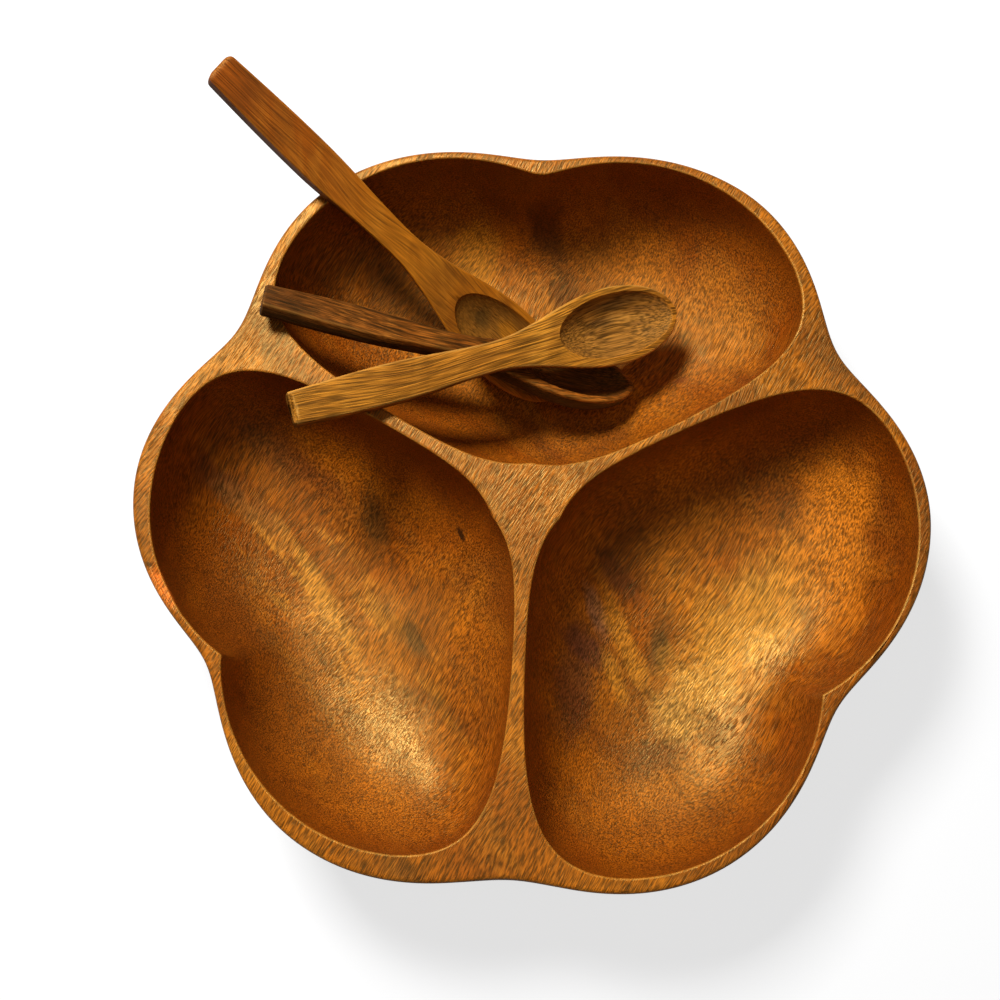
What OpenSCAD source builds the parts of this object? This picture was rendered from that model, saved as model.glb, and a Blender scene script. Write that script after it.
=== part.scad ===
// Carved wooden serving bowl with three compartments, and three small carved wooden spoons.
// The bowl is one solid that stands on its flat base. Each spoon is a loose piece: it rests on
// the bowl and on the spoons that lie below it.
// Lengths are millimetres, angles are degrees. The origin is the middle of the flat base, +Z is up,
// and +Y points to the compartment that holds the spoons.

/* [Bowl] */
// Distance from the middle of the bowl to the crest of a lobe
lobe_r = 100; // [90:1:115]
// Depth of the compartments below the rim
cavity_depth = 33; // [27:1:36]
// Thickness of the floor under the deepest point of a compartment
floor_t = 7; // [6:0.5:12]
// Width of the rim at the crest of a lobe
rim_w = 3.2; // [2.4:0.1:4.5]
// Width of a divider between two compartments, before its ends flare out
divider_w = 0.6; // [0.2:0.1:3]
// Radius of the flat base
base_r = 50; // [40:1:58]

/* [Carving] */
// Turn of each notch in the outline from its even place, starting to the right of the spoons
notch_turns = [-1.3, 1.1, 2.4, 0.3, 0.3, -1.4]; // [-4:0.1:4]
// Radius of each notch as a share of the lobe radius, in the same order
notch_shares = [0.875, 0.92, 0.88, 0.893, 0.917, 0.906]; // [0.86:0.001:0.93]
// Size of each compartment as a share of its even size, anticlockwise from the one with the spoons
compartment_shares = [1, 0.97, 1]; // [0.95:0.005:1]
// Radius of the rounded outer edge of the rim
lip_r = 1.2; // [0.6:0.1:1.5]
// Width of the small bevel round each compartment
edge_bevel = 0.5; // [0.3:0.1:1]

/* [Spoons] */
// Length of the spoon that lies lowest
bottom_spoon_l = 120; // [110:1:130]
// Length of the spoon in the middle of the pile
middle_spoon_l = 102; // [96:1:112]
// Length of the spoon that lies on top
top_spoon_l = 107; // [98:1:116]
// Width of a spoon across its bowl
spoon_w = 21; // [17:0.5:24]
// Depth of a spoon at its bowl
spoon_t = 8.5; // [7:0.5:10]
// Width of a handle where it swells
handle_w = 10.2; // [8:0.1:12]
// Width of a handle at its end
handle_end_w = 8.4; // [6:0.1:9]
// Width of a handle at its neck
neck_w = 7.8; // [6:0.1:9]
// Thickness of a handle
handle_t = 4.6; // [3.5:0.1:6]
// Depth of the hollow in a spoon
hollow_depth = 4.6; // [3:0.1:5]
// Width of a spoon's rim beside its hollow
spoon_rim_w = 1.9; // [1.4:0.1:3]
// Size of the rounding on a spoon's upper edges and handle end
spoon_edge = 0.7; // [0.4:0.1:1]

/* [Pile] */
// Space that a resting spoon keeps above what carries it
rest_gap = 0.4; // [0.35:0.05:0.6]

/* [Hidden] */

bowl_h = cavity_depth + floor_t;

// Places inside the outline, as shares of the lobe radius
cavity_centre_share = 0.523;
cavity_lobe_side_share = 0.224;
cavity_lobe_out_share = 0.428;
cavity_centre = lobe_r * cavity_centre_share;
cavity_lobe_side = lobe_r * cavity_lobe_side_share;
cavity_lobe_out = lobe_r * cavity_lobe_out_share;
cavity_lobe_r = lobe_r - rim_w - norm([cavity_lobe_side, cavity_lobe_out]);

// Form of the curves: how soft the notches are, how full the walls are, how corners blend
notch_softness = [0.34, 0.28];
cavity_fullness = 2.4;
wall_fullness = 2.1;
corner_blend = 5.8;
// The crease between two lobes fades by this angle from the rim to the floor
crease_fade_angle = 52;
// The notches keep this share of their depth at the base
base_notch_share = 0.15;

// Number of steps in each direction of the surfaces
arc_steps = 18;
ray_steps = 9;
cavity_steps = 11;
wall_steps = 10;
lip_steps = 3;

// Places along a spoon, as shares of its length, and the length of its hollow
swell_share = 0.25;
neck_share = 0.5;
wide_share = 0.83;
hollow_share = 0.28;
hollow_end_gap_share = 0.011;
// Form of a spoon's section: squarer along the handle, rounder under its bowl
handle_squareness = 5;
bowl_squareness = 2.2;
// The section changes from the first form to the second over this share of the length
section_change_share = 0.2;
// At its two ends a hollow narrows to this share of its greatest width
hollow_end_w_share = 0.2;
// The rounding of an edge takes at most this share of the wood there
edge_limit_share = 1 / 3;
// Points across a spoon's upper face and its underside
hollow_shares = [1, 0.9, 0.7, 0.4, 0, -0.4, -0.7, -0.9, -1];
under_steps = 10;
handle_steps = 12;
hollow_steps = 12;
tip_steps = 4;

// Where each spoon's bowl lies, as shares of the lobe radius, and its roll and heading
bottom_spot_shares = [-0.091, 0.467];
bottom_roll_angle = 5;
bottom_heading_angle = -36.6;
middle_spot_shares = [0.094, 0.391];
middle_roll_angle = -33;
middle_heading_angle = -6.6;
top_spot_shares = [0.201, 0.503];
top_roll_angle = 12;
top_heading_angle = 22.6;
// The pile is worked out by tilting each spoon until both its ends touch
settle_rounds = 4;
settle_steps = 60;
track_angles = [-165, -135, -90, -45, -15];
first_pitch_angle = 16;
// A spoon's underside is measured up to this share of its length
measured_share = 0.99;

// Small helpers

function mix(a, b, share) = a + (b - a) * share;
function clamp(v) = min(1, max(0, v));
function ease(v) = (1 - cos(180 * clamp(v))) / 2;
function side_of(v) = v < 0 ? -1 : 1;
function flat(p) = [p.x, p.y];
function raised(p, z) = [p.x, p.y, z];
function ray(angle) = [cos(angle), sin(angle)];
function upto(n) = [0 : n - 1];

// Joins two loops of point numbers by a closed band of triangles
function band(a, b) =
    [for (k = upto(len(a)))
        let (n = (k + 1) % len(a))
        each [[a[k], a[n], b[n]], [a[k], b[n], b[k]]]];

// Closes a loop of point numbers round one middle point
function fan(loop, hub) =
    [for (k = upto(len(loop)))
        [loop[k], loop[(k + 1) % len(loop)], hub]];

function numbers(first, count) = [for (k = upto(count)) first + k];

// Outline of the bowl

notch_angles = [for (i = [0 : 5]) 30 + 60 * i + notch_turns[i]];

function notch_angle(i) = notch_angles[i % 6] + 360 * floor(i / 6);

// 1 at a notch, 0 at the crest of a lobe
function dip(x, soft) =
    let (top = sqrt(1 + soft * soft))
    (top - sqrt(x * x + soft * soft)) / (top - soft);

// Point of the outline at a share of the way from notch i to the next one
function outline_point(i, share, size_share, inset, notch_share) =
    let (
        near = (share < 0.5 ? i : i + 1) % 6,
        depth_share = (1 - notch_shares[near]) * notch_share,
        r = lobe_r * (1 - depth_share * dip(sin(180 * share), notch_softness[near % 2]))
    )
    (r * size_share - inset) * ray(mix(notch_angle(i), notch_angle(i + 1), share));

function outline_loop(z, size_share = 1, inset = 0, notch_share = 1) =
    [for (i = [0 : 5], k = upto(arc_steps))
        raised(outline_point(i, k / arc_steps, size_share, inset, notch_share), z)];

// The outer surface, from the flat rim over the rounded lip and down to the base
lip_loops =
    [for (k = [0 : lip_steps])
        let (a = 90 * k / lip_steps)
        outline_loop(bowl_h - lip_r * (1 - cos(a)), inset = lip_r * (1 - sin(a)))];

wall_loops =
    [for (k = [1 : wall_steps])
        let (
            a = 90 * k / wall_steps,
            out_share = pow(cos(a), 2 / wall_fullness),
            down_share = pow(sin(a), 2 / wall_fullness)
        )
        outline_loop(
            (bowl_h - lip_r) * (1 - down_share),
            size_share = mix(base_r / lobe_r, 1, out_share),
            notch_share = mix(1, base_notch_share, down_share))];

outer_loops = concat(lip_loops, wall_loops);
outer_count = 6 * arc_steps;

// Compartments: number c is 1, 3 or 5, the notch that it points at

function cavity_middle(c) = cavity_centre * ray(notch_angle(c));

// Distance of one divider side from a compartment's middle, in a direction off the side's normal
function side_reach(open_angle, off_axis) =
    let (
        reach = cavity_centre * sin(open_angle) - divider_w / 2,
        facing = cos(off_axis - open_angle - 90)
    )
    facing > 0 ? pow(facing / reach, corner_blend) : 0;

// Radius of a compartment about its middle, at an angle clockwise from its axis.
// Two mirrored circles make the lobes and meet in a crease, which fades by the given angle.
function cavity_r(c, angle, fade = 0) =
    let (
        folded = norm([angle, fade]),
        arm = norm([cavity_lobe_side, cavity_lobe_out - cavity_centre]),
        arm_angle = atan2(cavity_lobe_side, cavity_lobe_out - cavity_centre),
        off = folded - arm_angle,
        lobe = arm * cos(off) + sqrt(pow(cavity_lobe_r, 2) - pow(arm * sin(off), 2)),
        right = notch_angle(c) - notch_angle(c - 1),
        left = notch_angle(c + 1) - notch_angle(c)
    )
    compartment_shares[(c - 1) / 2] * pow(
        pow(1 / lobe, corner_blend) + side_reach(right, angle) + side_reach(left, -angle),
        -1 / corner_blend);

function cavity_fade(share) = crease_fade_angle * (1 - min(1, share));

// How far the floor lies below the bevel at a share of the way out from the middle
function cavity_drop(share) =
    (cavity_depth - edge_bevel) * pow(1 - pow(share, cavity_fullness), 1 / cavity_fullness);

// Angle clockwise from the compartment's axis at which its middle sees a point
function seen_angle(c, p) =
    let (
        d = flat(p) - cavity_middle(c),
        out = d * ray(notch_angle(c)),
        side = d * ray(notch_angle(c) - 90)
    )
    atan2(side, out);

function cavity_point(c, angle, share, extra, z) =
    let (
        r = share * cavity_r(c, angle, cavity_fade(share)) + extra,
        p = cavity_middle(c) + r * ray(notch_angle(c) - angle)
    )
    raised(p, z);

// Height of the bowl's upper surface where the spoons lie
function ground_z(p) =
    let (
        angle = seen_angle(1, p),
        d = norm(flat(p) - cavity_middle(1)),
        first = d / cavity_r(1, angle),
        share = d / cavity_r(1, angle, cavity_fade(first))
    )
    share < 1 ? bowl_h - edge_bevel - cavity_drop(share) : bowl_h;

// The bowl's surface is one closed skin. Points come in this order: outer loops, middle of the base,
// middle of the rim face, points along the three dividers, then the loops of each compartment.

rim_loop = outer_loops[0];
base_hub = len(outer_loops) * outer_count;
rim_hub = base_hub + 1;
divider_first = rim_hub + 1;
loop_count = 2 * ray_steps + 2 * arc_steps + 2;
cavity_first = divider_first + 3 * ray_steps;
cavity_size = loop_count * (cavity_steps + 1) + 1;

divider_points =
    [for (i = [0, 2, 4], k = [1 : ray_steps])
        let (end = rim_loop[i * arc_steps])
        raised(flat(end) * k / (ray_steps + 1), bowl_h)];

// Point numbers along one divider, from the middle outward
function divider_numbers(i) = numbers(divider_first + ray_steps * (i % 6) / 2, ray_steps);

function reversed(list) = [for (k = [len(list) - 1 : -1 : 0]) list[k]];

// Point numbers round the piece of rim that surrounds compartment c, anticlockwise
function sector_numbers(c) =
    concat(
        [rim_hub],
        divider_numbers(c - 1),
        [for (k = [0 : 2 * arc_steps]) ((c - 1) * arc_steps + k) % outer_count],
        reversed(divider_numbers(c + 1)));

upper_points =
    concat(
        [for (loop = outer_loops) each loop],
        [[0, 0, 0], [0, 0, bowl_h]],
        divider_points);

// Loops of one compartment: bevel at the rim, wall from steep to flat, and the floor's middle
function cavity_points(c) =
    let (angles = [for (n = sector_numbers(c)) seen_angle(c, upper_points[n])])
    concat(
        [for (a = angles) cavity_point(c, a, 1, edge_bevel, bowl_h)],
        [for (k = upto(cavity_steps), a = angles)
            let (share = pow(cos(90 * k / cavity_steps), 2 / cavity_fullness))
            cavity_point(c, a, share, 0, bowl_h - edge_bevel - cavity_drop(share))],
        [raised(cavity_middle(c), bowl_h - cavity_depth)]);

function cavity_faces(c) =
    let (
        first = cavity_first + cavity_size * (c - 1) / 2,
        loops = [for (k = [0 : cavity_steps]) numbers(first + k * loop_count, loop_count)]
    )
    concat(
        band(loops[0], sector_numbers(c)),
        [for (k = [1 : cavity_steps]) each band(loops[k], loops[k - 1])],
        fan(reversed(loops[cavity_steps]), first + cavity_size - 1));

outer_faces =
    [for (k = [1 : len(outer_loops) - 1])
        each band(
            numbers((k - 1) * outer_count, outer_count),
            numbers(k * outer_count, outer_count))];

module bowl() {
    color("#9a5a22")
        polyhedron(
            points = concat(upper_points, cavity_points(1), cavity_points(3), cavity_points(5)),
            faces = concat(
                outer_faces,
                fan(numbers(base_hub - outer_count, outer_count), base_hub),
                cavity_faces(1),
                cavity_faces(3),
                cavity_faces(5)));
}

// Spoons: each lies along X from its handle end to its tip, with its upper face at height zero

function tip_fade(share) = sqrt(1 - pow(clamp((share - wide_share) / (1 - wide_share)), 2));

function half_width(share) =
    let (
        end = handle_end_w / 2,
        swell = handle_w / 2,
        neck = neck_w / 2,
        wide = spoon_w / 2
    )
    share < swell_share ? mix(end, swell, sin(90 * share / swell_share)) :
    share < neck_share ? mix(swell, neck, ease((share - swell_share) / (neck_share - swell_share))) :
    share < wide_share ? mix(neck, wide, ease((share - neck_share) / (wide_share - neck_share))) :
    wide * tip_fade(share);

function thickness(share) =
    let (deepening = ease((share - neck_share) / (wide_share - neck_share)))
    mix(handle_t, spoon_t, deepening) * tip_fade(share);

// Where the hollow starts and ends along a spoon
hollow_end_share = 1 - hollow_end_gap_share;
hollow_start_share = hollow_end_share - hollow_share;
hollow_half_w = spoon_w / 2 - spoon_rim_w;

// 0 at the middle of the hollow's length, 1 at its two ends
function hollow_off(share) =
    abs(share - (hollow_start_share + hollow_end_share) / 2) / (hollow_share / 2);

function hollow_width_share(share) = sqrt(1 - pow(min(1, hollow_off(share)), 2));

// One point of the upper face, at a share of the way across the hollow
function upper_point(length, share, across) =
    let (
        inside = hollow_width_share(share),
        plain_w = min(hollow_half_w * hollow_end_w_share, half_width(share) / 2),
        w = max(hollow_half_w * inside, plain_w),
        off = norm([hollow_off(share), w * across / hollow_half_w]),
        down = inside > 0 ? hollow_depth * sqrt(1 - pow(min(1, off), 2)) : 0
    )
    [length * share, w * across, -down];

// One point of the underside; the angle runs from one upper edge to the other
function under_point(length, share, angle) =
    let (
        change_share = ease((share - neck_share) / section_change_share),
        power = 2 / mix(handle_squareness, bowl_squareness, change_share),
        edge = min(spoon_edge, thickness(share) * edge_limit_share),
        across = side_of(cos(angle)) * pow(abs(cos(angle)), power),
        down = pow(abs(sin(angle)), power)
    )
    [length * share, half_width(share) * across, -mix(edge, thickness(share), down)];

function trimmed(section, share_in) =
    let (middle = [section[0].x, 0, -handle_t / 2])
    [for (p = section) mix(middle, p, share_in)];

// Closed section across a spoon
function section(length, share) =
    let (
        edge_in = half_width(share) - min(spoon_edge, half_width(share) * edge_limit_share),
        x = length * share
    )
    concat(
        [[x, edge_in, 0]],
        [for (across = hollow_shares) upper_point(length, share, across)],
        [[x, -edge_in, 0]],
        [for (k = [0 : under_steps]) under_point(length, share, -180 + 180 * k / under_steps)]);

function sections(length) =
    let (
        round_share = spoon_edge / length,
        end_share = 1 - 2 * spoon_edge / handle_w
    )
    concat(
        [[for (p = trimmed(section(length, 0), end_share)) p]],
        [for (k = upto(handle_steps))
            section(length, mix(round_share, hollow_start_share, k / handle_steps))],
        [for (k = [0 : hollow_steps])
            section(length, mix(hollow_start_share, hollow_end_share, ease(k / hollow_steps)))],
        [for (k = [1 : tip_steps - 1])
            section(length, mix(hollow_end_share, 1, sin(90 * k / tip_steps)))]);

// A solid whose skin follows a row of sections, closed at both ends
module skinned(rows, first_hub, last_hub) {
    count = len(rows[0]);
    last = len(rows) * count;
    polyhedron(
        points = concat([for (row = rows) each row], [first_hub, last_hub]),
        faces = concat(
            fan(numbers(0, count), last),
            [for (k = [1 : len(rows) - 1])
                each band(numbers(k * count, count), numbers((k - 1) * count, count))],
            fan(reversed(numbers(last - count, count)), last + 1)));
}

module spoon(length) {
    skinned(sections(length), [0, 0, -handle_t / 2], [length, 0, -spoon_edge / 2]);
}

// Resting places. A place is [position of the widest point of the upper face, turn, length].

function turned(v, turn) =
    let (
        r = [v.x, v.y * cos(turn.x) - v.z * sin(turn.x), v.y * sin(turn.x) + v.z * cos(turn.x)],
        p = [r.x * cos(turn.y) + r.z * sin(turn.y), r.y, r.z * cos(turn.y) - r.x * sin(turn.y)]
    )
    [p.x * cos(turn.z) - p.y * sin(turn.z), p.x * sin(turn.z) + p.y * cos(turn.z), p.z];

function placed(p, place) = place[0] + turned(p - [place[2] * wide_share, 0, 0], place[1]);

// Height of a lying spoon's upper face above a point, or the lowest number beside the spoon
function face_z(place, p) =
    let (
        x_way = turned([1, 0, 0], place[1]),
        y_way = turned([0, 1, 0], place[1]),
        up = turned([0, 0, 1], place[1]),
        d = flat(p) - flat(place[0]),
        z = -(d * flat(up)) / up.z,
        from = [d.x, d.y, z],
        share = from * x_way / place[2] + wide_share
    )
    share > 0 && share < 1 && abs(from * y_way) < half_width(share) + rest_gap ? place[0].z + z : 0;

function support_z(p, below) = max([ground_z(p), for (place = below) face_z(place, p)]);

// Smallest clearance under one stretch of a spoon, measured along tracks on its underside.
// Each point is held against what lies below it and a step nearer to the handle's end.
function clearance(place, below, from_share, to_share) =
    let (shares = [for (k = [0 : settle_steps]) mix(from_share, to_share, k / settle_steps)])
    min([for (angle = track_angles)
        let (
            track = [for (share = shares) placed(under_point(place[2], share, angle), place)],
            carried = [for (p = track) support_z(p, below)]
        )
        min([for (k = [1 : settle_steps]) track[k].z - max(carried[k - 1], carried[k])])]);

function tilted(place, pitch) = [place[0], [place[1].x, pitch, place[1].z], place[2]];

// Tilts and lowers a spoon until its handle and its bowl both rest on what is below
function settled(place, below, rounds = settle_rounds) =
    let (
        handle_gap = clearance(place, below, 0, neck_share),
        bowl_gap = clearance(place, below, neck_share, measured_share),
        turn_by = atan2(handle_gap - bowl_gap, place[2] * neck_share),
        drop = min(handle_gap, bowl_gap) - rest_gap
    )
    rounds < 1
        ? [place[0] - [0, 0, drop], place[1], place[2]]
        : settled(tilted(place, place[1].y - turn_by), below, rounds - 1);

function started(spot, roll, heading, length) =
    [raised(lobe_r * spot, bowl_h), [roll, first_pitch_angle, heading], length];

bottom_start =
    started(bottom_spot_shares, bottom_roll_angle, bottom_heading_angle, bottom_spoon_l);
middle_start =
    started(middle_spot_shares, middle_roll_angle, middle_heading_angle, middle_spoon_l);
top_start =
    started(top_spot_shares, top_roll_angle, top_heading_angle, top_spoon_l);

bottom_place = settled(bottom_start, []);
middle_place = settled(middle_start, [bottom_place]);
top_place = settled(top_start, [bottom_place, middle_place]);

module lay(place) {
    translate(place[0])
        rotate(place[1])
            translate([-place[2] * wide_share, 0, 0])
                spoon(place[2]);
}

module bottom_spoon() {
    color("#a3521c") lay(bottom_place);
}

module middle_spoon() {
    color("#6e3f1c") lay(middle_place);
}

module top_spoon() {
    color("#9c6b33") lay(top_place);
}

bowl();
bottom_spoon();
middle_spoon();
top_spoon();
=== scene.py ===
import math
from dataclasses import dataclass
from typing import NamedTuple

import bpy
import numpy as np
from mathutils import Euler, Matrix, Vector

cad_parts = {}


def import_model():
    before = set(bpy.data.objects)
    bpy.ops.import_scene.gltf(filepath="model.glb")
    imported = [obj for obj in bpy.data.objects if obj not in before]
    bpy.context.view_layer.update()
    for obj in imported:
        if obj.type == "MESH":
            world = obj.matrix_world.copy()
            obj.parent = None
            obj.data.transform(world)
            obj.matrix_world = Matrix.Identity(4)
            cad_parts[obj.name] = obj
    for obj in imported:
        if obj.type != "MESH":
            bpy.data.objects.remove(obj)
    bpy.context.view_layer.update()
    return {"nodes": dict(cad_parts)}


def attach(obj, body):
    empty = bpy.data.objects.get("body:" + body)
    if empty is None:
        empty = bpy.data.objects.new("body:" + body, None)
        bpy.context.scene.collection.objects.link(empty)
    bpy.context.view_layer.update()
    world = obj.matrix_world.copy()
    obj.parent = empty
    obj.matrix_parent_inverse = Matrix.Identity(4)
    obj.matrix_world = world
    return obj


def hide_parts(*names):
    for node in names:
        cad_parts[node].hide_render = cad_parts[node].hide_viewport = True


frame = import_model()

# Lengths are millimetres, as in the part's own values, and are times MM where Blender takes metres
MM = 0.001
ZERO = (0.0, 0.0, 0.0)

# Bowl. A fullness above 2 makes a profile fuller than an ellipse
LOBES = 6
LOBE_TURN = 360 / LOBES
LOBE_R = 100.0
BOWL_H = 40.0
RIM_W = 3.2
BASE_R = 50.0
LIP_R = 1.2
LIP_WEAR = 0.4
WALL_FULLNESS = 2.1

# Notches between the lobes: turn from the even place in degrees, radius as a share of LOBE_R, and
# softness of the point for even and odd ones. At the base only a share of their depth is left
NOTCH_TURNS = (-1.3, 1.1, 2.4, 0.3, 0.3, -1.4)
NOTCH_SHARES = (0.875, 0.92, 0.88, 0.893, 0.917, 0.906)
NOTCH_SOFTNESS = (0.34, 0.28)
BASE_NOTCH_SHARE = 0.15

# Compartments, each with the number of the notch that it points at. Dividers end at the others
COMPARTMENTS = (1, 3, 5)
DIVIDERS = (0, 2, 4)
COMPARTMENT_SHARES = {1: 1.0, 3: 0.97, 5: 1.0}
DIVIDER_W = 0.6
EDGE_BEVEL = 0.5
CAVITY_DEPTH = 33.0
CAVITY_CENTRE = 0.523 * LOBE_R
CAVITY_FULLNESS = 2.4
# The two lobes of a compartment: place of their centres beside and along its axis, and radius
LOBE_SIDE = 0.224 * LOBE_R
LOBE_OUT = 0.428 * LOBE_R
CAVITY_LOBE_R = LOBE_R - RIM_W - math.hypot(LOBE_SIDE, LOBE_OUT)
# How sharply the lobes turn into the straight sides along the dividers
CORNER_BLEND = 5.8
# How blunt the crease between the lobes is at the floor, and at each compartment's rim, in degrees
CREASE_FADE = 52.0
CREASE_BLUNTNESS = {1: 5.0, 3: 0.0, 5: 0.0}

# Unevenness that the gouge left, with the shares of its even, wide and fine parts. Each wave has a
# length, the length of its sway and the sway
CARVED_DEPTH = 0.5
CARVED_SHARES = (0.5, 0.38, 0.12)
WIDE_WAVES = ((6.1, 9.7, 1.4), (7.3, 8.9, 1.2))
FINE_WAVES = ((3.1, 5.3, 1.5), (3.7, 1.0, 0.0))
FINE_SLANTS = (0.6, -0.4)

# Small chip on the rim: place and heading in plan, half-lengths, depth and ripples
CHIP_SPOT = (-89.8, -26.8)
CHIP_HEADING = -57
CHIP_SIZE = (5.5, 1.9)
CHIP_DEPTH = 0.9
CHIP_RIPPLE_SHARE = 0.25
CHIP_RIPPLES = (9, 2)

# Steps of the bowl's surfaces
ARC_STEPS = 64
RAY_STEPS = 36
CAVITY_STEPS = 46
WALL_STEPS = 30
LIP_STEPS = 7
BEVEL_STEPS = 4
RIM_STEPS = 5
# Distance of the loops that keep a flat face flat up to its rounded edge
HOLD = 0.25

# Spoons. Places along them are shares of the length, from the handle's end
SPOON_W = 21.0
SPOON_T = 8.5
SPOON_EDGE = 0.7
HANDLE_W = 10.2
HANDLE_END_W = 8.4
HANDLE_T = 4.6
NECK_W = 7.8
SWELL_SHARE = 0.25
NECK_SHARE = 0.5
WIDE_SHARE = 0.83
# Most that a rounded edge takes of the half-width or the thickness
EDGE_LIMIT_SHARE = 1 / 3
# Section of the lower half: 2 is an ellipse, more is squarer. The change takes a share of length
HANDLE_SQUARENESS = 5.0
BOWL_SQUARENESS = 2.2
SECTION_CHANGE_SHARE = 0.2

# Hollows of the spoons. A power of 1/2 gives an elliptic section, and more gives gentler walls
SPOON_RIM_W = 1.9
TIP_RIM_SHARE = 0.011
HOLLOW_DEPTH = 4.6
HOLLOW_POWER = 0.8
HOLLOW_SHARE = 0.31
HOLLOW_END_SHARE = 1 - TIP_RIM_SHARE
HOLLOW_START_SHARE = HOLLOW_END_SHARE - HOLLOW_SHARE
# A narrow flat strip goes on from both ends of the hollow, so that the rows stay in order
STRIP_SHARE = 0.09
STRIP_LIMIT_SHARE = 0.25

# Worn and slanted ends of the handles
WORN_DROP_SHARE = 0.35
CUT_STEEPNESS = 2.2
CREST_W = 0.2
CREST_WEAR = 2.0

# Steps of the spoons' surfaces. A spread above 1 brings rows closer together at the handle's end
HANDLE_STEPS = 70
HANDLE_SPREAD = 1.5
HOLLOW_STEPS = 60
TIP_STEPS = 14
ACROSS_STEPS = 36
UNDER_STEPS = 44
EDGE_STEPS = 4

# Resting places, as worked out in the part's source: widest point, turn in degrees, length
BOTTOM_PLACE = ((-9.1, 46.7, 19.7098), (5, 25.0812, -36.6), 120)
MIDDLE_PLACE = ((9.4, 39.1, 22.9921), (-33, 16.4116, -6.6), 102)
TOP_PLACE = ((20.1, 50.3, 29.5556), (12, 13.8299, 22.6), 107)


# Small helpers

def mix(a, b, share):
    """What lies at a share of the way from a to b."""
    return a + (b - a) * share


def ease(v):
    """A smooth rise from 0 to 1, as v goes from 0 to 1."""
    return (1 - np.cos(np.pi * np.clip(v, 0, 1))) / 2


def cos_deg(a):
    return np.cos(np.radians(a))


def sin_deg(a):
    return np.sin(np.radians(a))


def ray(angle):
    """One millimetre in plan, at an angle anticlockwise from X."""
    return np.stack([cos_deg(angle), sin_deg(angle)], -1)


def raised(plan, z):
    """Plan points, given a height."""
    height = np.broadcast_to(z, plan.shape[:-1])
    return np.concatenate([plan, height[..., None]], -1)


def band(a, b):
    """Quads that join two closed loops of point numbers."""
    n = len(a)
    return [[a[k], a[(k + 1) % n], b[(k + 1) % n], b[k]] for k in range(n)]


def fan(loop, hub):
    """Triangles that join a closed loop to one point in its middle."""
    n = len(loop)
    return [[loop[k], loop[(k + 1) % n], hub] for k in range(n)]


# Outline of the bowl

NOTCH_ANGLES = [LOBE_TURN * (i + 0.5) + turn for i, turn in enumerate(NOTCH_TURNS)]


def notch_angle(i):
    """Angle of a notch. Numbers below 0 or past the last one go on round the bowl."""
    return NOTCH_ANGLES[i % LOBES] + 360 * (i // LOBES)


def dip(x, soft):
    """1 at a notch, 0 at the crest of a lobe."""
    top = math.sqrt(1 + soft * soft)
    return (top - np.sqrt(x * x + soft * soft)) / (top - soft)


def outline_loop(z, size_share=1.0, inset=0.0, notch_share=1.0):
    """Points round the outline at a height, anticlockwise from the first notch."""
    parts = []
    share = np.arange(ARC_STEPS) / ARC_STEPS
    x = sin_deg(180 * share)
    for i in range(LOBES):
        depth = np.zeros(ARC_STEPS)
        for near, chosen in ((i, share < 0.5), ((i + 1) % LOBES, share >= 0.5)):
            deep = (1 - NOTCH_SHARES[near]) * dip(x, NOTCH_SOFTNESS[near % 2])
            depth[chosen] = deep[chosen]
        r = LOBE_R * (1 - notch_share * depth) * size_share - inset
        angle = mix(notch_angle(i), notch_angle(i + 1), share)
        parts.append(r[:, None] * ray(angle))
    return raised(np.concatenate(parts), z)


def lip_loops():
    """Loops over the rounded lip, from the flat face of the rim outwards and down."""
    loops = [outline_loop(BOWL_H, inset=LIP_R + HOLD)]
    for k in range(LIP_STEPS + 1):
        a = 90 * k / LIP_STEPS
        z = BOWL_H - LIP_R * (1 - cos_deg(a))
        loops.append(outline_loop(z, inset=LIP_R * (1 - sin_deg(a))))
    return loops


def wall_loops():
    """Loops down the outer wall to the edge of the base."""
    loops = []
    for k in range(1, WALL_STEPS + 1):
        a = 90 * k / WALL_STEPS
        out_share = max(cos_deg(a), 0) ** (2 / WALL_FULLNESS)
        down_share = sin_deg(a) ** (2 / WALL_FULLNESS)
        loops.append(outline_loop(
            (BOWL_H - LIP_R) * (1 - down_share),
            size_share=mix(BASE_R / LOBE_R, 1, out_share),
            notch_share=mix(1, BASE_NOTCH_SHARE, down_share)))
    return loops


# Compartments

def cavity_middle(c):
    """Point in plan that a compartment's loops run round, and where its floor is lowest."""
    return CAVITY_CENTRE * ray(notch_angle(c))


def side_reach(open_angle, off_axis):
    """The straight wall along a divider, as one term of the blend in cavity_r."""
    reach = CAVITY_CENTRE * sin_deg(open_angle) - DIVIDER_W / 2
    facing = np.maximum(cos_deg(off_axis - open_angle - 90), 0)
    return (facing / reach) ** CORNER_BLEND


def cavity_r(c, angle, fade):
    """Radius of a compartment about its middle, at an angle clockwise from its axis."""
    folded = np.hypot(angle, fade)
    arm = math.hypot(LOBE_SIDE, LOBE_OUT - CAVITY_CENTRE)
    arm_angle = math.degrees(math.atan2(LOBE_SIDE, LOBE_OUT - CAVITY_CENTRE))
    off = folded - arm_angle
    lobe = arm * cos_deg(off) + np.sqrt(CAVITY_LOBE_R ** 2 - (arm * sin_deg(off)) ** 2)
    right = notch_angle(c) - notch_angle(c - 1)
    left = notch_angle(c + 1) - notch_angle(c)
    total = lobe ** -CORNER_BLEND + side_reach(right, angle) + side_reach(left, -angle)
    return COMPARTMENT_SHARES[c] * total ** (-1 / CORNER_BLEND)


def seen_angle(c, points):
    """Angle clockwise from the compartment's axis at which its middle sees each point."""
    d = points[:, :2] - cavity_middle(c)
    out = d @ ray(notch_angle(c))
    side = d @ ray(notch_angle(c) - 90)
    return np.degrees(np.arctan2(side, out))


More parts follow.
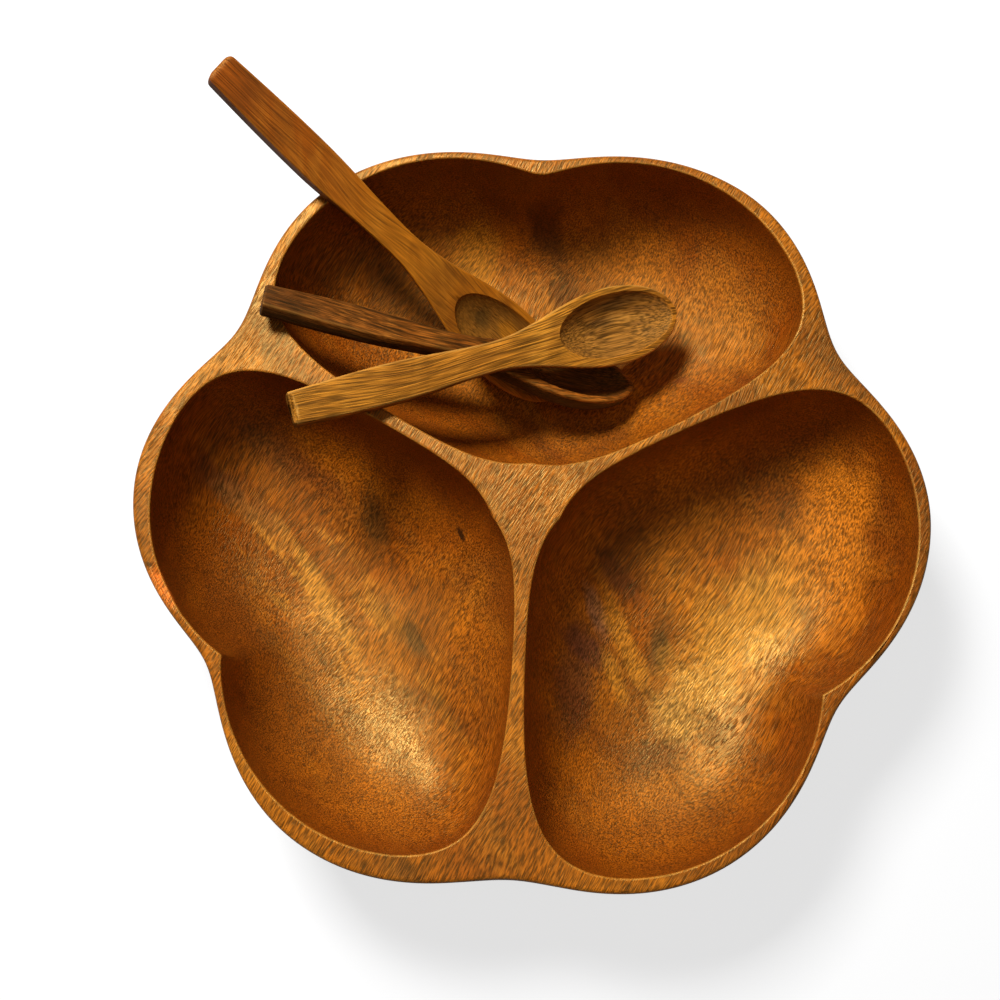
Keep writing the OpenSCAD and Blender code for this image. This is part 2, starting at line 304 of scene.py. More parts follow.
def cavity_loop(c, angles, share, extra, z):
    """Points of a compartment's wall at a height, at a share of its full size and extra outside."""
    fade = math.hypot(CREASE_BLUNTNESS[c], CREASE_FADE * (1 - min(1, share)))
    r = share * cavity_r(c, angles, fade) + extra
    plan = cavity_middle(c) + r[:, None] * ray(notch_angle(c) - angles)
    return raised(plan, z)


def cavity_drop(share):
    """Depth of a compartment's wall and floor below its rounded edge."""
    depth_share = (1 - share ** CAVITY_FULLNESS) ** (1 / CAVITY_FULLNESS)
    return (CAVITY_DEPTH - EDGE_BEVEL) * depth_share


def swaying(along, across, wave):
    """A sine along one way, whose crests sway with the other."""
    length, sway_length, sway = wave
    return np.sin(along / length + sway * np.sin(across / sway_length))


def carved(points):
    """The shallow dips that the gouge left, up to CARVED_DEPTH below the even surface."""
    x, y = points[:, 0], points[:, 1]
    wide = swaying(x, y, WIDE_WAVES[0]) * swaying(y, x, WIDE_WAVES[1])
    slant_x = x + FINE_SLANTS[0] * y
    slant_y = y + FINE_SLANTS[1] * x
    fine = swaying(slant_x, y, FINE_WAVES[0]) * swaying(slant_y, x, FINE_WAVES[1])
    uneven = CARVED_SHARES[0] + CARVED_SHARES[1] * wide + CARVED_SHARES[2] * fine
    below = BOWL_H - points[:, 2]
    points[:, 2] -= CARVED_DEPTH * ease(below / CAVITY_DEPTH) * uneven
    return points


def chipped(points):
    """Sinks the small place on the left rim where a chip has broken off."""
    away = points[:, :2] - CHIP_SPOT
    along = away @ ray(CHIP_HEADING) / CHIP_SIZE[0]
    across = away @ ray(CHIP_HEADING + 90) / CHIP_SIZE[1]
    near = np.maximum(0, 1 - along ** 2 - across ** 2)
    ripple = np.sin(CHIP_RIPPLES[0] * along + CHIP_RIPPLES[1] * across)
    uneven = 1 - CHIP_RIPPLE_SHARE + CHIP_RIPPLE_SHARE * ripple
    points[:, 2] -= CHIP_DEPTH * np.sqrt(near) * uneven
    return points


def cavity_loops(c, rim):
    """Loops from the flat rim face over the rounded inner edge and down to the floor."""
    angles = seen_angle(c, rim)
    edge = cavity_loop(c, angles, 1, EDGE_BEVEL + HOLD, BOWL_H)
    loops = [mix(rim, edge, k / RIM_STEPS) for k in range(1, RIM_STEPS + 1)]
    for k in range(BEVEL_STEPS + 1):
        a = 90 * k / BEVEL_STEPS
        out = EDGE_BEVEL * (1 - sin_deg(a))
        loops.append(cavity_loop(c, angles, 1, out, BOWL_H - EDGE_BEVEL * (1 - cos_deg(a))))
    loops = [chipped(loop) for loop in loops]
    for k in range(1, CAVITY_STEPS):
        share = cos_deg(90 * k / CAVITY_STEPS) ** (2 / CAVITY_FULLNESS)
        z = BOWL_H - EDGE_BEVEL - cavity_drop(share)
        loops.append(carved(cavity_loop(c, angles, share, 0, z)))
    return loops


# Bowl surface: one closed skin

class Skin:
    """Gathers loops of points, the faces between them, and four values for each point: how much it
    is on an edge, how deep in a hollow, how far along the piece, and whether it is on a side."""

    def __init__(self):
        self.points = []
        self.faces = []
        self.values = {"edge": [], "hollow": [], "along": [], "side": []}

    def add(self, points, edge=0.0, hollow=0.0, along=0.0, side=0.0):
        """Adds points and returns their numbers. A value is one number, or one for each point."""
        first = len(self.points)
        count = len(points)
        self.points.extend(np.asarray(points, float).tolist())
        given = {"edge": edge, "hollow": hollow, "along": along, "side": side}
        for label, value in given.items():
            self.values[label].extend(np.broadcast_to(value, count).tolist())
        return list(range(first, first + count))

    def mesh(self, name, place=Matrix()):
        """A mesh in metres, whose points carry the four values."""
        made = bpy.data.meshes.new(name)
        made.from_pydata([place @ Vector(p) * MM for p in self.points], [], self.faces)
        made.validate()
        for label, values in self.values.items():
            attribute = made.attributes.new(label, "FLOAT", "POINT")
            attribute.data.foreach_set("value", np.array(values, np.float32))
        made.shade_smooth()
        made.update()
        return made


def add_outside(skin):
    """Adds the lip, the outer wall and the base. Returns the numbers of the points where the flat
    face of the rim begins."""
    numbers = []
    lips = lip_loops()
    for k, loop in enumerate(lips):
        edge = 0.0 if k == 0 else LIP_WEAR * float(sin_deg(180 * (k - 1) / LIP_STEPS))
        numbers.append(skin.add(loop, edge))
    for loop in wall_loops():
        numbers.append(skin.add(loop))
    for upper, lower in zip(numbers, numbers[1:]):
        skin.faces += band(lower, upper)
    base = outline_loop(0, BASE_R / LOBE_R, HOLD, BASE_NOTCH_SHARE)
    inner = skin.add(base)
    skin.faces += band(inner, numbers[-1])
    hub = skin.add([[0, 0, 0]])
    skin.faces += fan(inner[::-1], hub[0])
    return numbers[0]


def add_dividers(skin, rim):
    """Adds the points along the middle of each divider, from the centre to the rim."""
    dividers = []
    for i in DIVIDERS:
        end = np.array(skin.points[rim[i * ARC_STEPS]])
        share = np.arange(1, RAY_STEPS + 1)[:, None] / (RAY_STEPS + 1)
        dividers.append(skin.add(raised(end[:2] * share, BOWL_H)))
    return dividers


def sector(c, rim, hub, dividers):
    """Point numbers round the piece of rim that surrounds compartment c, anticlockwise."""
    before = dividers[((c - 1) // 2) % len(DIVIDERS)]
    after = dividers[((c + 1) // 2) % len(DIVIDERS)]
    first = (c - 1) * ARC_STEPS
    arc = [rim[(first + k) % len(rim)] for k in range(2 * ARC_STEPS + 1)]
    return [hub] + before + arc + after[::-1]


def add_compartment(skin, c, around):
    """Adds a compartment inside a loop of point numbers: flat rim, rounded edge, wall and floor."""
    loops = cavity_loops(c, np.array([skin.points[n] for n in around]))
    last = around
    for k, loop in enumerate(loops):
        bevel = k - RIM_STEPS
        on_bevel = 0 <= bevel <= BEVEL_STEPS
        edge = float(sin_deg(180 * bevel / BEVEL_STEPS)) if on_bevel else 0.0
        depth = (BOWL_H - loop[:, 2]) / CAVITY_DEPTH
        numbers = skin.add(loop, edge, depth)
        skin.faces += band(last, numbers)
        last = numbers
    floor = skin.add(carved(np.array([[*cavity_middle(c), BOWL_H - CAVITY_DEPTH]])), 0, 1)
    skin.faces += fan(last, floor[0])


def bowl_mesh():
    skin = Skin()
    rim = add_outside(skin)
    hub = skin.add([[0, 0, BOWL_H]])[0]
    dividers = add_dividers(skin, rim)
    for c in COMPARTMENTS:
        add_compartment(skin, c, sector(c, rim, hub, dividers))
    return skin.mesh("bowl_skin")


# Spoons: each lies along X from its handle end to its tip, with its upper face at height zero

def tip_fade(share):
    """1 up to the widest place, and from there down to 0 at the tip, as in an ellipse."""
    return math.sqrt(max(0, 1 - max(0, (share - WIDE_SHARE) / (1 - WIDE_SHARE)) ** 2))


def half_width(share):
    end, swell, neck, wide = HANDLE_END_W / 2, HANDLE_W / 2, NECK_W / 2, SPOON_W / 2
    if share < SWELL_SHARE:
        return mix(end, swell, sin_deg(90 * share / SWELL_SHARE))
    if share < NECK_SHARE:
        return mix(swell, neck, ease((share - SWELL_SHARE) / (NECK_SHARE - SWELL_SHARE)))
    if share < WIDE_SHARE:
        return mix(neck, wide, ease((share - NECK_SHARE) / (WIDE_SHARE - NECK_SHARE)))
    return wide * tip_fade(share)


def thickness(share):
    deepening = ease((share - NECK_SHARE) / (WIDE_SHARE - NECK_SHARE))
    return mix(HANDLE_T, SPOON_T, deepening) * tip_fade(share)


def hollow_off(share):
    """Distance from the middle of the hollow along the spoon, in half-lengths of the hollow."""
    middle = (HOLLOW_START_SHARE + HOLLOW_END_SHARE) / 2
    return abs(share - middle) / (HOLLOW_SHARE / 2)


def upper_row(length, share):
    """Points across the upper face, from the left edge to the right one, and their depth share."""
    half_w = SPOON_W / 2 - SPOON_RIM_W
    off = hollow_off(share)
    inside = math.sqrt(1 - min(1, off) ** 2)
    strip_w = min(half_w * STRIP_SHARE, half_width(share) * STRIP_LIMIT_SHARE)
    w = math.hypot(half_w * inside, strip_w)
    y = w * np.cos(np.pi * np.arange(ACROSS_STEPS + 1) / ACROSS_STEPS)
    y = np.concatenate([[w + HOLD], y, [-w - HOLD]])
    spread = np.minimum(1, np.hypot(off, y / half_w))
    down = HOLLOW_DEPTH * (1 - spread ** 2) ** HOLLOW_POWER
    down[[0, -1]] = 0
    x = np.full_like(y, length * share)
    return np.stack([x, y, -down], -1), down / HOLLOW_DEPTH


def rounded_edge(length, share, side):
    """The rounding between the upper face and one side; the first point is the upper one."""
    half = half_width(share)
    across = min(SPOON_EDGE, half * EDGE_LIMIT_SHARE)
    down = min(SPOON_EDGE, thickness(share) * EDGE_LIMIT_SHARE)
    a = 90 * np.arange(EDGE_STEPS + 1) / EDGE_STEPS
    y = half - across * (1 - sin_deg(a))
    z = -down * (1 - cos_deg(a))
    x = np.full_like(y, length * share)
    return np.stack([x, side * y, z], -1)


def under_row(length, share, flare):
    """Points round the sides and underside. flare moves the lower part of the right side out."""
    change = ease((share - NECK_SHARE) / SECTION_CHANGE_SHARE)
    power = 2 / mix(HANDLE_SQUARENESS, BOWL_SQUARENESS, change)
    edge = min(SPOON_EDGE, thickness(share) * EDGE_LIMIT_SHARE)
    angle = -180 + 180 * np.arange(1, UNDER_STEPS) / UNDER_STEPS
    c, s = cos_deg(angle), sin_deg(angle)
    across = np.sign(c) * np.abs(c) ** power
    down = np.abs(s) ** power
    leaning = flare * ease((NECK_SHARE - share) / SWELL_SHARE)
    y = half_width(share) * across - leaning * down * np.maximum(0, -across)
    z = -mix(edge, thickness(share), down)
    x = np.full_like(y, length * share)
    return np.stack([x, y, z], -1)


def spoon_row(length, share, flare):
    """One closed row of points round a spoon, and their edge, hollow and side values."""
    upper, depth = upper_row(length, share)
    left = rounded_edge(length, share, 1)
    right = rounded_edge(length, share, -1)
    under = under_row(length, share, flare)
    row = np.concatenate([left[::-1], upper, right, under])
    arc = sin_deg(180 * np.arange(EDGE_STEPS + 1) / EDGE_STEPS)
    edge = np.concatenate([arc, 0 * depth, arc, np.zeros(len(under))])
    hollow = np.concatenate([0 * arc, depth, 0 * arc, np.zeros(len(under))])
    side = np.concatenate([0 * edge[:-len(under)], np.ones(len(under))])
    return row, edge, hollow, side


def worn(row, worn_end):
    """Rounds the corners of the handle's end, seen from above, and slopes its upper face down."""
    left = np.clip(1 - row[:, 0] / worn_end, 0, 1)
    narrower = worn_end * (1 - np.sqrt(1 - left ** 2))
    row[:, 1] *= 1 - narrower / (HANDLE_END_W / 2)
    row[:, 2] = np.minimum(row[:, 2], -WORN_DROP_SHARE * worn_end * left ** 2)
    return row


def drawn_out(row, length, more):
    """Makes the handle longer by moving its end."""
    row[:, 0] -= more * np.maximum(0, 1 - row[:, 0] / (NECK_SHARE * length))
    return row


def slanted(row, cut):
    """Cuts the upper corner off the handle's end on a slant, most at the middle of its width. Also
    returns how near each point is to the cut's upper edge."""
    here = cut * cos_deg(90 * np.clip(row[:, 1] / (HANDLE_END_W / 2), -1, 1))
    row[:, 2] = np.minimum(row[:, 2], -CUT_STEEPNESS * np.maximum(0, here - row[:, 0]))
    crest = np.exp(-((row[:, 0] - here) / CREST_W) ** 2)
    return row, crest * (row[:, 2] > -SPOON_EDGE)


def spoon_shares(length):
    """Places of the rows along a spoon, as shares of its length."""
    start = SPOON_EDGE / length
    spread = [(k / HANDLE_STEPS) ** HANDLE_SPREAD for k in range(HANDLE_STEPS)]
    handle = [mix(start, HOLLOW_START_SHARE, v) for v in spread]
    spread = [ease(k / HOLLOW_STEPS) for k in range(HOLLOW_STEPS + 1)]
    hollow = [mix(HOLLOW_START_SHARE, HOLLOW_END_SHARE, v) for v in spread]
    tip = [mix(HOLLOW_END_SHARE, 1, sin_deg(90 * k / TIP_STEPS)) for k in range(1, TIP_STEPS)]
    return handle + hollow + tip


def laid(spot, turn, length):
    """The move that puts a spoon at its resting place."""
    turned = Euler([math.radians(a) for a in turn], "XYZ").to_matrix().to_4x4()
    back = Matrix.Translation(Vector((-length * WIDE_SHARE, 0, 0)))
    return Matrix.Translation(Vector(spot)) @ turned @ back


def end_rows(length, flare):
    """Rows over the rounded edge of the handle's end, each with its values for Skin.add."""
    shrink = 2 * SPOON_EDGE / HANDLE_W
    middle = np.array([0, 0, -HANDLE_T / 2])
    rows = []
    for k in range(EDGE_STEPS):
        a = 90 * k / EDGE_STEPS
        row, _, _, side = spoon_row(length, 0, flare)
        row = mix(middle, row, 1 - shrink * (1 - sin_deg(a)))
        row[:, 0] = SPOON_EDGE * (1 - cos_deg(a))
        rows.append((row, 1 - cos_deg(a), 0, 0, side))
    return rows


def long_rows(length, flare):
    """Rows from the handle's end to the tip, each with its values for Skin.add."""
    rows = []
    for share in spoon_shares(length):
        row, edge, hollow, side = spoon_row(length, share, flare)
        rows.append((row, edge, hollow, share, side))
    return rows


def spoon_mesh(name, place, worn_end, more=0.0, flare=0.0, cut=0.0):
    """One spoon at its resting place. worn_end is the length that is worn round, more how far the
    handle is drawn out, flare how far its right side slants out, and cut the length of the slanted
    cut at its end."""
    length = place[2]
    skin = Skin()
    rows = []
    for row, edge, hollow, along, side in end_rows(length, flare) + long_rows(length, flare):
        if cut:
            row, crest = slanted(row, cut)
            edge = np.maximum(edge, CREST_WEAR * crest * (along > 0))
        row = drawn_out(worn(row, worn_end), length, more)
        rows.append(skin.add(row, edge, hollow, along, side))
    for before, after in zip(rows, rows[1:]):
        skin.faces += band(after, before)
    first = skin.add([[-more, 0, -HANDLE_T / 2]])
    last = skin.add([[length, 0, -SPOON_EDGE / 2]], along=1)
    skin.faces += fan(rows[0], first[0])
    skin.faces += fan(rows[-1][::-1], last[0])
    return skin.mesh(name, laid(*place))


# Materials: wood whose grain runs through the piece

class Layer(NamedTuple):
    """A noise layer of the wood: length, width and height of its cells, the noise values between
    which it fades in, and how detailed, rough and bent it is."""
    cells: tuple
    span: tuple = (0.0, 1.0)
    detail: float = 2.0
    rough: float = 0.5
    bend: float = 0.0


# Fibres. They sway from side to side by up to SWAY_W
SWAY = Layer((70.0, 30.0, 30.0), detail=1.0)
SWAY_W = 14.0
FIBRE_W = 0.34
FIBRE_SPAN = (0.35, 0.65)
FIBRE_DARKNESS = 0.62
FIBRE_LIGHTNESS = 0.56

# Open pores, in strands, more crowded in some places than in others
PORE_W = 0.4
PORE_STRANDS = 2
PORE_SPAN = (0.45, 0.37)
PORE_TONE_SHARE = 0.45
CROWDING = Layer((26.0, 7.0, 7.0), (0.4, 0.6))
CROWDING_LEAST = 0.25

# Dark stripes along the fibres, with cells in widths of a stripe, and rubbed places on edges
STRIPE_CELLS = (40, 1, 1.6)
STRIPE_SPAN = (0.48, 0.62)
RUBBING = Layer((9.0, 3.0, 3.0), (0.3, 0.6))
RUBBING_LEAST = 0.2

# Layers along the flow of the shimmering streaks
BROAD = Layer((60.0, 26.0, 30.0), (0.38, 0.6), detail=3.0, bend=0.5)
STREAKS = Layer((34.0, 7.0, 22.0), (0.68, 0.9), detail=3.0, bend=0.7)
STREAK_FEATHER = 0.35
STAINS = Layer((40.0, 18.0, 24.0), (0.5, 0.7), detail=3.0, rough=0.55, bend=0.7)
SHEEN = Layer((30.0, 14.0, 26.0), (0.3, 0.7))
SHEEN_LESS = 0.05
SHEEN_MORE = 0.09

# Outlines of placed ovals, in half-lengths. The noise moves them out and in
RAGGED = Layer((13.0, 6.0, 8.0), detail=3.0, rough=0.6)
RAGGEDNESS = 1.5
OVAL_EDGE = (1.15, 1.75)
# What is left of the streaks outside the places where they shimmer
SHIMMER_LEAST = 0.2

# Tones by the shares of depth and length that the meshes carry, and how strong they get
# The wall tone is painted shade on the compartments' walls. It comes in just below the rim, is
# strongest down to 30% of the depth and fades out at the floor
WALL_START = (0.0, 0.04)
WALL_END = (0.3, 1.0)
WALL_SHADE_MOST = 0.6
# The hollow tone is painted light and shade in the spoons' hollows, laid in from their rim
HOLLOW_START = (0.0, 0.15)
HOLLOW_SHADING_MOST = 0.55
END_TONE_SPAN = (0.1, 0.6)
END_TONE_MOST = 0.9
END_GRAIN_SPAN = (0.0, 0.004)
END_GRAIN_MOST = 0.7
# The side tone, a share of the darkest tone, is painted shade on the spoons' sides and undersides
SIDE_SHADE_SHARE = 0.7

# Surface. Pores and hollows are rougher, and the bump follows the fibres and pores
PORE_ROUGHNESS = 0.2
HOLLOW_ROUGH_SPAN = (0.0, 0.3)
HOLLOW_ROUGHNESS = 0.15
PORE_DEPTH_SHARE = 0.5
BUMP_STRENGTH = 0.6
BUMP_DEPTH = 0.2
SHINE_COLOUR = (255, 212, 120)


def tone(red, green, blue):
    """A colour as written on a screen, from 0 to 255, as the linear one that a shader takes. The
    numbers are those of the sRGB curve."""
    linear = []
    for value in (red, green, blue):
        v = value / 255
        linear.append(v / 12.92 if v <= 0.04045 else ((v + 0.055) / 1.055) ** 2.4)
    return (*linear, 1.0)


def darker(colour, share):
    """A colour with only a share of its light."""
    return (*[v * share for v in colour[:3]], 1.0)


class Nodes:
    """Adds nodes to a shader tree. What goes into a node is a constant or another one's output."""

    def __init__(self, tree):
        self.tree = tree

    def put(self, kind, values=None, **settings):
        """Adds a node. values gives its inputs, by name or number."""
        made = self.tree.nodes.new(kind)
        for name, value in settings.items():
            setattr(made, name, value)
        for key, value in (values or {}).items():
            if isinstance(value, bpy.types.NodeSocket):
                self.tree.links.new(value, made.inputs[key])
            else:
                made.inputs[key].default_value = value
        return made

    def calc(self, operation, a, b=0.0, c=0.0):
        return self.put("ShaderNodeMath", {0: a, 1: b, 2: c}, operation=operation).outputs[0]

    def times(self, a, b):
        return self.calc("MULTIPLY", a, b)

    def plus(self, a, b):
        return self.calc("ADD", a, b)

    def remap(self, value, span, low=0.0, high=1.0):
        """Maps a span of values to the one from low to high, and holds others at its ends."""
        values = {"Value": value, 1: span[0], 2: span[1], 3: low, 4: high}
        return self.put("ShaderNodeMapRange", values).outputs[0]

    def blend(self, factor, a, b, mode="MIX"):
        """Mixes two colours."""
        values = {0: factor, 6: a, 7: b}
        return self.put("ShaderNodeMix", values, data_type="RGBA", blend_type=mode).outputs[2]

    def grey(self, value):
        return self.put("ShaderNodeCombineColor", {0: value, 1: value, 2: value}).outputs[0]

    def point_value(self, label):
        """One of the values that the mesh carries at its points."""
        return self.put("ShaderNodeAttribute", attribute_name=label).outputs["Fac"]

    def where(self):
        """The place on the piece, in metres, which goes along when the piece moves."""
        return self.put("ShaderNodeTexCoord").outputs["Object"]

    def length(self, vector):
        return self.put("ShaderNodeVectorMath", {0: vector}, operation="LENGTH").outputs["Value"]

    def place(self, heading, cells, offset=ZERO, lean=0.0, spot=ZERO, wave=None):
        """Coordinates for one layer, in cells from a spot. X runs along a heading and leans up.
        wave moves the layer sideways, in metres."""
        turned = Euler((0, math.radians(-lean), math.radians(heading)), "XYZ").to_matrix()
        where = self.where()
        if any(spot):
            there = tuple(v * MM for v in spot)
            moved = self.put("ShaderNodeVectorMath", {0: where, 1: there}, operation="SUBTRACT")
            where = moved.outputs["Vector"]
        parts = {}
        for k in range(3):
            axis = tuple(turned.col[k] / (cells[k] * MM))
            along = self.put("ShaderNodeVectorMath", {0: where, 1: axis}, operation="DOT_PRODUCT")
            parts[k] = self.plus(along.outputs["Value"], offset[k])
        if wave:
            parts[1] = self.calc("MULTIPLY_ADD", wave, 1 / (cells[1] * MM), parts[1])
        return self.put("ShaderNodeCombineXYZ", parts).outputs[0]

    def noise(self, place, layer):
        values = {"Vector": place, "Scale": 1.0, "Detail": layer.detail, "Roughness": layer.rough,
                  "Distortion": layer.bend}
        return self.put("ShaderNodeTexNoise", values).outputs["Fac"]


@dataclass
class Look:
    """What sets one wood apart. Strengths run from 0 to 1, and headings are in degrees."""
    # From the darkest to the lightest of four
    tones: tuple
    # Heading and slope of the fibres, and heading of the shimmering streaks
    grain: float = 0.0
    lean: float = 0.0
    flow: float = 90.0
    # Moves the layers, in cells, so that no two pieces have the same ones
    offset: tuple = ZERO
    # Length of a strand of fibres, and how much the fibres differ in tone
    strand: float = 3.6
    contrast: float = 1.0
    # Dark stripes: strength and width
    stripes: float = 0.3
    stripe_w: float = 2.4
    # Strengths of the streaks, stains, pores, rubbed edges, painted shade on the sides and
    # undersides, and end grain
    figure: float = 0.5
    patch: float = 0.6
    pores: float = 0.6
    worn: float = 0.5
    painted_side_shade: float = 0.0
    end_grain: float = 0.0
    # Roughness of the oiled surface, and strength of its highlights
    roughness: float = 0.42
    shine: float = 0.8
    # Colours of special places, where they have one. The hollow tone is painted light and shade in
    # a spoon's hollow, and the wall tone painted shade on the bowl's walls
    edge_tone: tuple = None
    painted_hollow_shading: tuple = None
    painted_wall_shade: tuple = None
    end_tone: tuple = None
    # Ovals: spot, half-lengths and heading, then a colour for patches and marks, and a strength for
    # all but shimmer, which are the places where the streaks show most
    shimmer: tuple = ()
    patches: tuple = ()
    marks: tuple = ()
    dull: tuple = ()


class Wood(Nodes):
    """Oiled open-pored hardwood, built up layer by layer from its look."""

    def __init__(self, name, look):
        self.material = bpy.data.materials.new(name)
        self.material.use_nodes = True
        super().__init__(self.material.node_tree)
        self.look = look
        sway = self.noise(self.place(look.grain, SWAY.cells, look.offset), SWAY)
        self.wave = self.times(sway, SWAY_W * MM)
        self.ragged = self.noise(self.place(look.flow, RAGGED.cells), RAGGED)
        cells = (look.strand, FIBRE_W, FIBRE_W)
        self.fibres = self.fibre_noise(Layer(cells, detail=1.0, rough=0.6))

    def fibre_noise(self, layer):
        look = self.look
        place = self.place(look.grain, layer.cells, look.offset, look.lean, wave=self.wave)
        return self.noise(place, layer)

    def flow_noise(self, layer):
        return self.noise(self.place(self.look.flow, layer.cells, self.look.offset), layer)

    def oval(self, spot, size, heading):
        """1 in an oval round a spot, and 0 outside it, with a ragged outline."""
        far = self.length(self.place(heading, size, spot=spot))
        far = self.calc("MULTIPLY_ADD", self.ragged, RAGGEDNESS, far)
        return self.remap(far, OVAL_EDGE, 1.0, 0.0)

    def cover(self, share, colour):
        """Lays a colour over the wood, as strongly as share says."""
        self.colour = self.blend(share, self.colour, colour)

    def add_tones(self):
        look = self.look
        broad = self.flow_noise(BROAD)
        self.colour = self.blend(self.remap(broad, BROAD.span), look.tones[1], look.tones[2])
        if look.end_tone:
            near = self.remap(self.point_value("along"), END_TONE_SPAN, END_TONE_MOST, 0.0)
            self.cover(near, look.end_tone)

    def add_streaks(self):
        streaks = self.flow_noise(STREAKS)
        feathered = self.plus(streaks, self.times(self.fibres, STREAK_FEATHER))
        glow = self.remap(feathered, STREAKS.span, 0.0, self.look.figure)
        for spot, size, heading in self.look.shimmer:
            near = self.remap(self.oval(spot, size, heading), (0, 1), SHIMMER_LEAST, 1.0)
            glow = self.times(glow, near)
        self.cover(glow, self.look.tones[3])

    def add_stains(self):
        look = self.look
        stains = self.flow_noise(STAINS)
        self.cover(self.remap(stains, STAINS.span, 0.0, look.patch), look.tones[0])
        cells = tuple(look.stripe_w * v for v in STRIPE_CELLS)
        stripes = self.fibre_noise(Layer(cells, detail=3.0, rough=0.6))
        self.cover(self.remap(stripes, STRIPE_SPAN, 0.0, look.stripes), look.tones[0])

    def add_painted_shading(self):
        look = self.look
        # Painted shade on the compartments' walls
        if look.painted_wall_shade:
            depth = self.point_value("hollow")
            start = self.remap(depth, WALL_START)
            wall = self.times(start, self.remap(depth, WALL_END, WALL_SHADE_MOST, 0))
            self.cover(wall, look.painted_wall_shade)
        # Painted light and shade in the spoons' hollows
        if look.painted_hollow_shading:
            inside = self.remap(self.point_value("hollow"), HOLLOW_START, 0.0, HOLLOW_SHADING_MOST)
            self.cover(inside, look.painted_hollow_shading)

    def add_places(self, places):
        for spot, size, heading, colour, strength in places:
            self.cover(self.times(self.oval(spot, size, heading), strength), colour)

    def add_side_shade(self):
        look = self.look
        # Painted shade on the spoons' sides and undersides
        if look.painted_side_shade:
            side = self.times(self.point_value("side"), look.painted_side_shade)
            self.cover(side, darker(look.tones[0], SIDE_SHADE_SHARE))

    def add_fibres(self):
        least = 1 - FIBRE_DARKNESS * self.look.contrast
        most = 1 + FIBRE_LIGHTNESS * self.look.contrast
        shade = self.remap(self.fibres, FIBRE_SPAN, least, most)
        self.colour = self.blend(1.0, self.colour, self.grey(shade), "MULTIPLY")

    def add_pores(self):
        look = self.look
        cells = (PORE_STRANDS * look.strand, PORE_W, PORE_W)
        strokes = self.fibre_noise(Layer(cells, detail=1.0))
        crowd = self.remap(self.fibre_noise(CROWDING), CROWDING.span, CROWDING_LEAST, 1.0)
        self.pore = self.times(self.remap(strokes, PORE_SPAN), crowd)
        self.cover(self.times(self.pore, look.pores), darker(look.tones[0], PORE_TONE_SHARE))

    def add_wear(self):
        look = self.look
        if look.edge_tone:
            least = RUBBING_LEAST * look.worn
            rubbed = self.remap(self.fibre_noise(RUBBING), RUBBING.span, least, look.worn)
            self.cover(self.times(self.point_value("edge"), rubbed), look.edge_tone)
        if look.end_grain:
            end = self.remap(self.point_value("along"), END_GRAIN_SPAN, END_GRAIN_MOST, 0.0)
            self.cover(self.times(end, look.end_grain), look.tones[0])

    def roughness(self):
        look = self.look
        least, most = look.roughness - SHEEN_LESS, look.roughness + SHEEN_MORE
        rough = self.remap(self.flow_noise(SHEEN), SHEEN.span, least, most)
        rough = self.plus(rough, self.times(self.pore, PORE_ROUGHNESS))
        if look.painted_hollow_shading:
            depth = self.point_value("hollow")
            rough = self.plus(rough, self.remap(depth, HOLLOW_ROUGH_SPAN, 0.0, HOLLOW_ROUGHNESS))
        for spot, size, heading, strength in look.dull:
            rough = self.plus(rough, self.times(self.oval(spot, size, heading), strength))
        return rough

    def bump(self):
        height = self.calc("SUBTRACT", self.fibres, self.times(self.pore, PORE_DEPTH_SHARE))
        values = {"Strength": BUMP_STRENGTH, "Distance": BUMP_DEPTH * MM, "Height": height}
        return self.put("ShaderNodeBump", values).outputs[0]

    def join(self, rough, bump):
        """Joins the layers to the shader."""
        shader = self.tree.nodes["Principled BSDF"]
        self.tree.links.new(self.colour, shader.inputs["Base Color"])
        self.tree.links.new(rough, shader.inputs["Roughness"])
        self.tree.links.new(bump, shader.inputs["Normal"])
        shader.inputs["Specular IOR Level"].default_value = self.look.shine
        shader.inputs["Specular Tint"].default_value = tone(*SHINE_COLOUR)


def wood(name, look):
    """The material of a wood with this look."""
    made = Wood(name, look)
    made.add_tones()
    made.add_streaks()
    made.add_stains()
    made.add_painted_shading()
    made.add_places(look.patches)
    made.add_side_shade()
    made.add_fibres()
    made.add_pores()
    made.add_places(look.marks)
    made.add_wear()
    made.join(made.roughness(), made.bump())
    return made.material


